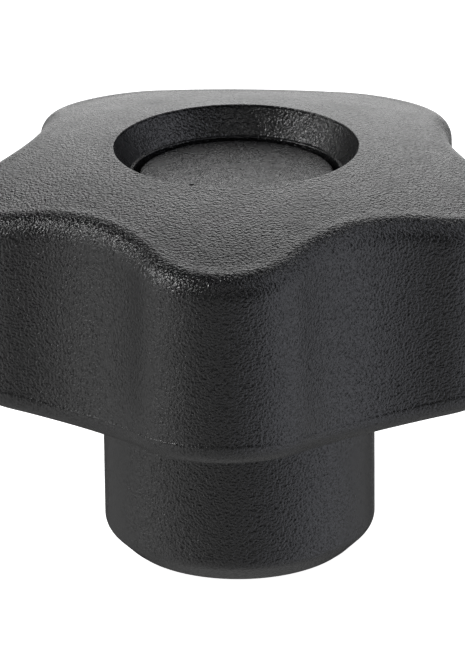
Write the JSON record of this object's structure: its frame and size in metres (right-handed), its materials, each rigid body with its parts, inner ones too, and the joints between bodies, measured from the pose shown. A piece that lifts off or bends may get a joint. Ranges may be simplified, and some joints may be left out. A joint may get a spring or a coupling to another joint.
{
  "type": "star knob",
  "caption": "Lobed star knob with a domed top, a round hub on a threaded metal bush, and a snap-in cover cap.",
  "frame": {"origin": "centre of the clamping face, which is the lower end of the threaded bush", "axes": "+Z along the thread axis, up to the cover cap; one of the five lobes points along -Y"},
  "size_m": [0.0386, 0.0374, 0.0285],
  "materials": {
    "grip_plastic": "black glass-filled polyamide, fine spark-eroded grain",
    "bush_brass": "turned brass, tapped M8",
    "cap_plastic": "black polyamide, finely grained face"
  },
  "bodies": {
    "knob": {"star_body": "grip_plastic", "thread_bush": "bush_brass"},
    "cap": {"cover_cap": "cap_plastic"}
  },
  "joints": [
    {"name": "cap_lift", "type": "slide", "parent": "knob", "child": "cap", "axis": [0, 0, 1], "range_m": [0, 0.014]}
  ]
}
